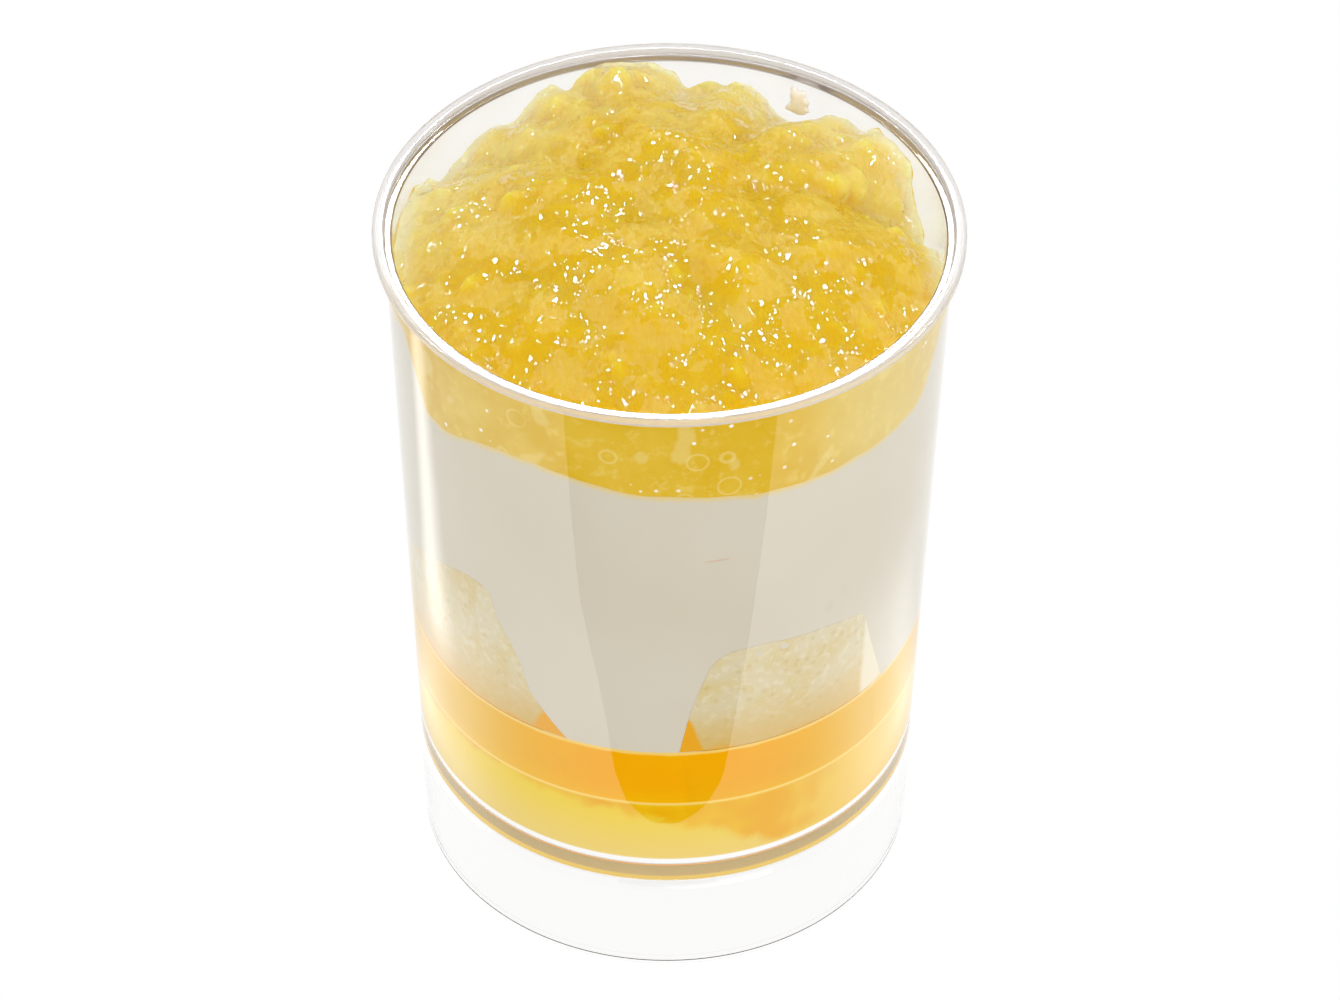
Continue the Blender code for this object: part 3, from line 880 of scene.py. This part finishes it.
angle, reach, height = place.cylinder()
stands = place.node("ShaderNodeAttribute", {"attribute_name": "proud"}, output=2)
air_pocket_reflection = place.node("ShaderNodeAttribute", {"attribute_name": "pocket"}, output=2)
cloud = place.grain(170.0, 4.0, 0.6, 0.4)
# Painted light: fragments that stand proud are paler, as light shines through them, and the hollows
# between are deeper yellow; the cloud adds tone that differs at random.
cloud_and_proud_glow = (stands * 0.6 + cloud * 0.8 - 0.2).step(0.25, 0.75)
citrus = cloud_and_proud_glow.blend(colour(227, 185, 12), colour(229, 197, 60))
# Painted light: paler towards the back near the wall, where light from behind shines through the heap.
backlit_rim = (reach + (cloud - 0.5) * 0.014).step(0.012, 0.030)
x, y, _ = place.parts()
back = (y - x * 0.25 + cloud * 0.006).step(-0.008, 0.018)
citrus = (backlit_rim * back * 0.9).blend(citrus, colour(234, 213, 126))
# Painted light: the thin edge against the wall, round the back, is pale, as light shines through it.
thin_edge_glow = (reach - height * INNER_TAPER - inner_radius(0.0)).step(-0.0030, -0.0006)
round_back = (y + cloud * 0.008).step(-0.010, 0.008)
citrus = (thin_edge_glow * round_back * 0.8).blend(citrus, colour(232, 222, 180))


def facets(place, scale):
    """Height of small flat facets, each with a tilt of its own, as a broken surface has them."""
    values = {"Vector": place, "Scale": scale}
    cells = place.node("ShaderNodeTexVoronoi", inputs=values, output="Color")
    middle = Wire(place.tree, cells.socket.node.outputs["Position"])
    less, dot = {"operation": "SUBTRACT"}, {"operation": "DOT_PRODUCT"}
    offset = place.node("ShaderNodeVectorMath", less, {0: place, 1: middle})
    tilt = place.node("ShaderNodeVectorMath", less, {0: cells, 1: (0.5, 0.5, 0.5)})
    return place.node("ShaderNodeVectorMath", dot, {0: tilt, 1: offset}, "Value")


# The broken faces glint in groups; between them the jelly is dull. They are drawn out a little.
DRAWN_OUT = (1.0, 0.5, 0.75)
COARSE_FACETS, FINE_FACETS = 1150.0, 2600.0  # to the metre
clusters = place.grain(230.0, 3.0, 0.6).step(0.47, 0.53)
drawn = place.node("ShaderNodeVectorMath", {"operation": "MULTIPLY"}, {0: place, 1: DRAWN_OUT})
broken = facets(drawn, COARSE_FACETS) + facets(drawn, FINE_FACETS)
wavy = place.grain(300.0, 2.0, 0.45) * 0.0009
feed(
    crushed_finish,
    Base_Color=citrus,
    Roughness=0.55 - clusters * 0.53,
    Normal=(broken * 0.55 + wavy).relief(1.0),
)

# Pressed against the wall the jelly has no wet gloss of its own. It is clouded; its air pockets and
# rings of bubbles are painted pale as reflections, and a few bright pinpricks are painted glints.
pressed = place.node("ShaderNodeAttribute", {"attribute_name": "contact"}, output="Fac").step(0.4, 0.9)
dark = place.grain(130.0, 3.0, 0.6).step(0.3, 0.7)
flat = dark.blend(colour(228, 197, 92), colour(220, 182, 56))
middle = (angle + 88.0).math("ABSOLUTE").step(38.0, 20.0) * 0.7
flat = middle.blend(flat, dark.blend(colour(226, 186, 48), colour(221, 178, 30)))
pale_right = angle.step(-64.0, -45.0) * angle.step(10.0, -10.0)
flat = (pale_right * 0.5).blend(flat, colour(224, 204, 126))
flat = (place.grain(500.0, 3.0, 0.7).step(0.5, 0.75) * 0.5).blend(flat, colour(238, 214, 120))
# Painted reflection: thin pale rims of bubbles against the wall.
bubble_rim_reflection = place.node("ShaderNodeTexVoronoi", inputs={"Vector": place, "Scale": 190.0})
bubble_rim_reflection = (bubble_rim_reflection - 0.24).math("ABSOLUTE").step(0.035, 0.01)
bubble_rim_reflection = bubble_rim_reflection * place.grain(90.0, 1.0).step(0.5, 0.56)
flat = (bubble_rim_reflection * 0.3).blend(flat, colour(248, 230, 160))
# Painted reflection: the air pockets are pale where the plastic mirrors light.
flat = (air_pocket_reflection * 0.35).blend(flat, colour(240, 222, 150))
# Painted highlight: a few bright pinpricks of glint.
pinprick_glint = place.node("ShaderNodeTexVoronoi", inputs={"Vector": place, "Scale": 520.0})
pinprick_glint = pinprick_glint.step(0.16, 0.08) * place.grain(120.0, 2.0).step(0.52, 0.6)
flat = pinprick_glint.blend(flat, (1.0, 0.98, 0.9, 1.0))
tree = crushed_finish.node_tree
plain = place.node("ShaderNodeBsdfDiffuse", inputs={"Color": flat})
gloss = Wire(tree, tree.nodes["Principled BSDF"].outputs[0])
either = place.node("ShaderNodeMixShader", inputs={0: pressed, 1: gloss, 2: plain})
tree.links.new(either.socket, tree.nodes["Material Output"].inputs["Surface"])
made_piece("crushed_jelly_heap", heap_mesh, crushed_finish, "crushed_jelly", "crushed_jelly")


# ---- Smear on the wall ---------------------------------------------------------------------
# A small smear of pudding and juice that the spoon left inside the wall, above the heap's edge.
# A thin drop with a ragged outline, stuck to the plastic.

SMEAR_TURN, SMEAR_HEIGHT = math.radians(61.4), 0.0849
SMEAR_WIDE, SMEAR_HIGH, SMEAR_THICK = 0.0013, 0.0018, 0.0005
SMEAR_RINGS, SMEAR_SPOKES = 8, 48
SMEAR_PRESS = 0.00004


def smear_spot(share, way, thickness):
    """A place on the smear: how far out to its edge, in what direction, and how thick there."""
    ragged = 1.0 + 0.5 * noise.noise(Vector((math.cos(way), math.sin(way), 0.7)) * 1.7)
    spread = 1.0 + 1.2 * max(0.0, -math.sin(way)) ** 2  # wider where it has run down
    across = SMEAR_WIDE * math.cos(way) * ragged * spread * share
    up = SMEAR_HIGH * math.sin(way) * ragged * share
    uneven = 1.0 + 0.5 * noise.noise(Vector((across, up, 0.0)) * 900.0)
    reach = inner_radius(SMEAR_HEIGHT + up) + SMEAR_PRESS
    reach -= thickness * (1.0 - share**4) * uneven
    turn = SMEAR_TURN + across / reach
    return (reach * math.cos(turn), reach * math.sin(turn), SMEAR_HEIGHT + up)


smear_points = [smear_spot(0.0, 0.0, 0.0)]
smear_rings = []
outward = (0.0, range(1, SMEAR_RINGS + 1))
inward = (SMEAR_THICK, range(SMEAR_RINGS - 1, 0, -1))
for thickness, rings in (outward, inward):
    for ring in rings:
        smear_rings.append([len(smear_points) + spoke for spoke in range(SMEAR_SPOKES)])
        for spoke in range(SMEAR_SPOKES):
            way = math.tau * spoke / SMEAR_SPOKES
            smear_points.append(smear_spot(ring / SMEAR_RINGS, way, thickness))
smear_points.append(smear_spot(0.0, 0.0, SMEAR_THICK))
smear_faces = []
for spoke in range(SMEAR_SPOKES):
    after = (spoke + 1) % SMEAR_SPOKES
    smear_faces.append((0, smear_rings[0][after], smear_rings[0][spoke]))
    for lower, upper in zip(smear_rings, smear_rings[1:]):
        smear_faces.append((lower[spoke], lower[after], upper[after], upper[spoke]))
    smear_faces.append((smear_rings[-1][spoke], smear_rings[-1][after], len(smear_points) - 1))
smear_mesh = bpy.data.meshes.new("smear")
smear_mesh.from_pydata(smear_points, [], smear_faces)
smear_mesh.shade_smooth()
smear_solid = bmesh.new()
smear_solid.from_mesh(smear_mesh)
bmesh.ops.recalc_face_normals(smear_solid, faces=smear_solid.faces[:])
smear_solid.to_mesh(smear_mesh)
smear_solid.free()

smear_finish, place = new_finish("smear", Roughness=0.2, IOR=1.35)
streaky = place.grain(900.0, 3.0, 0.6).step(0.35, 0.65)
feed(
    smear_finish,
    Base_Color=streaky.blend(colour(250, 236, 220), colour(255, 250, 243)),
    Normal=place.grain(1200.0, 3.0).relief(0.0001),
)
made_piece("smear_on_wall", smear_mesh, smear_finish, "milk_pudding")


# ---- Studio --------------------------------------------------------------------------------
# A white sweep lit from all round, with the room behind the camera dark, so that the wet jelly
# and the clear plastic show small crisp highlights. None of it belongs to the verrine.

FLOOR_HALF = 1.5
FLAG_LIFT = 0.0003
floor_mesh = bpy.data.meshes.new("floor_sheet")
floor_corners = [(x * FLOOR_HALF, y * FLOOR_HALF, 0.0) for x, y in ((-1, -1), (1, -1), (1, 1), (-1, 1))]
floor_mesh.from_pydata(floor_corners, [], [(0, 1, 2, 3)])
floor = bpy.data.objects.new("floor", floor_mesh)
bpy.context.scene.collection.objects.link(floor)
floor_finish, place = new_finish(
    "floor_white",
    Base_Color=(0.0, 0.0, 0.0, 1.0),
    Specular_IOR_Level=0.0,
    Emission_Strength=1.0,
)


def mirrored_light(place):
    """1 for light that something glossy has mirrored, and 0 for all other light."""
    glossy = place.node("ShaderNodeLightPath", output="Is Glossy Ray")
    return glossy * place.node("ShaderNodeLightPath", output="Is Reflection Ray")


# In the plastic the sweep mirrors brighter at both sides, and brightest in a streak at the left.
x, y, _ = place.parts()
reach = place.cylinder()[1]
behind = y / reach.math("MAXIMUM", 0.001)
sides = behind.step(-0.71, -0.17) * behind.step(0.57, 0.14)
sides = sides * reach.step(0.078, 0.058) * reach.step(0.036, 0.044)
across = ((x + 0.0268) * 0.593 + (y + 0.0135) * 0.805).math("ABSOLUTE")
streak = across.step(0.015, 0.0) * x.step(-0.052, -0.066)
white = mirrored_light(place).blend((1.0, 1.0, 1.0, 1.0), sides * 0.75 + streak * 1.5 + 1.03)
feed(floor_finish, Emission_Color=white)
floor_mesh.materials.append(floor_finish)

# A black flag on the floor at the front, seen in mirrored light only: the clear, darker panel in
# the middle of the wall is its reflection.
FLAG_CORNERS = (
    (-0.1500, -0.1460), (-0.0684, -0.0890), (-0.0443, -0.0724), (-0.0296, -0.0659),
    (-0.0221, -0.0605), (-0.0175, -0.0555), (-0.0120, -0.0520), (-0.0040, -0.0502),
    (0.0040, -0.0500), (0.0125, -0.0512), (0.0190, -0.0535), (0.0240, -0.0575),
    (0.0329, -0.0641), (0.0452, -0.0719), (0.0709, -0.0871), (0.1500, -0.1410),
    (0.1500, -0.3000), (-0.1500, -0.3000),
)
flag_mesh = bpy.data.meshes.new("flag_front")
flag_face = tuple(range(len(FLAG_CORNERS)))
flag_mesh.from_pydata([(x, y, FLAG_LIFT) for x, y in FLAG_CORNERS], [], [flag_face])
flag_finish, _ = new_finish("flag_front", Base_Color=(0.02, 0.02, 0.02, 1.0), Specular_IOR_Level=0.0)
flag_mesh.materials.append(flag_finish)
flag = bpy.data.objects.new("flag_front", flag_mesh)
bpy.context.scene.collection.objects.link(flag)
flag.visible_camera = False
flag.visible_diffuse = False
flag.visible_transmission = False
flag.visible_shadow = False

# The room is white to soft light, a little darker through the plastic, and dark in reflections.
world = bpy.data.worlds.new("studio")
bpy.context.scene.world = world
world.use_nodes = True
sky = Wire(world.node_tree, world.node_tree.nodes["Background"].outputs[0])
through = sky.node("ShaderNodeLightPath", output="Is Transmission Ray")
room = through.blend((1.0, 1.0, 1.0, 1.0), (0.78, 0.75, 0.73, 1.0))
room = mirrored_light(sky).blend(room, (0.30, 0.29, 0.28, 1.0))
world.node_tree.links.new(room.socket, world.node_tree.nodes["Background"].inputs["Color"])


def lamp(name, place, aim, size, power):
    """A soft box at a place, turned to an aim, that only wet and polished surfaces show."""
    light = bpy.data.lights.new(name, "AREA")
    light.shape = "RECTANGLE"
    light.size, light.size_y = size
    light.energy = power
    obj = bpy.data.objects.new(name, light)
    bpy.context.scene.collection.objects.link(obj)
    obj.location = place
    obj.rotation_euler = (Vector(aim) - Vector(place)).to_track_quat("-Z", "Y").to_euler()
    obj.visible_diffuse = False
    return obj


# The fill is the one lamp that lights dull surfaces too, and nothing mirrors it.
fill = lamp("lamp_fill", (0.28, -0.58, 0.58), (0.0, 0.0, 0.06), (0.6, 0.6), 1.3)
fill.visible_diffuse = True
fill.visible_glossy = False
lamp("lamp_back", (0.0, 0.50, 0.55), (0.0, 0.0, 0.09), (0.13, 0.10), 2.4)
lamp("lamp_left", (-0.45, 0.15, 0.55), (0.0, 0.0, 0.09), (0.10, 0.10), 2.0)
lamp("lamp_right", (0.45, 0.20, 0.50), (0.0, 0.0, 0.09), (0.10, 0.10), 2.0)
lamp("lamp_top", (0.05, 0.05, 0.75), (0.0, 0.0, 0.09), (0.09, 0.09), 1.3)

ELEVATION = math.radians(42.2165)
DISTANCE = 0.6507
AIM = Vector((0.0003, 0.0, 0.04741))
ROLL = 0.0082
camera_data = bpy.data.cameras.new("camera")
camera_data.sensor_fit = "HORIZONTAL"
camera_data.sensor_width = 36.0
camera_data.lens = 151.03
camera = bpy.data.objects.new("camera", camera_data)
bpy.context.scene.collection.objects.link(camera)
away = Vector((0.0, -math.cos(ELEVATION), math.sin(ELEVATION)))
level = Vector((1.0, 0.0, 0.0))
upright = away.cross(level)
right = level * math.cos(ROLL) + upright * math.sin(ROLL)
up = upright * math.cos(ROLL) - level * math.sin(ROLL)
turn = Matrix((right, up, away)).transposed().to_4x4()
camera.matrix_world = Matrix.Translation(AIM + away * DISTANCE) @ turn
bpy.context.scene.camera = camera
bpy.context.scene.view_settings.view_transform = "Standard"
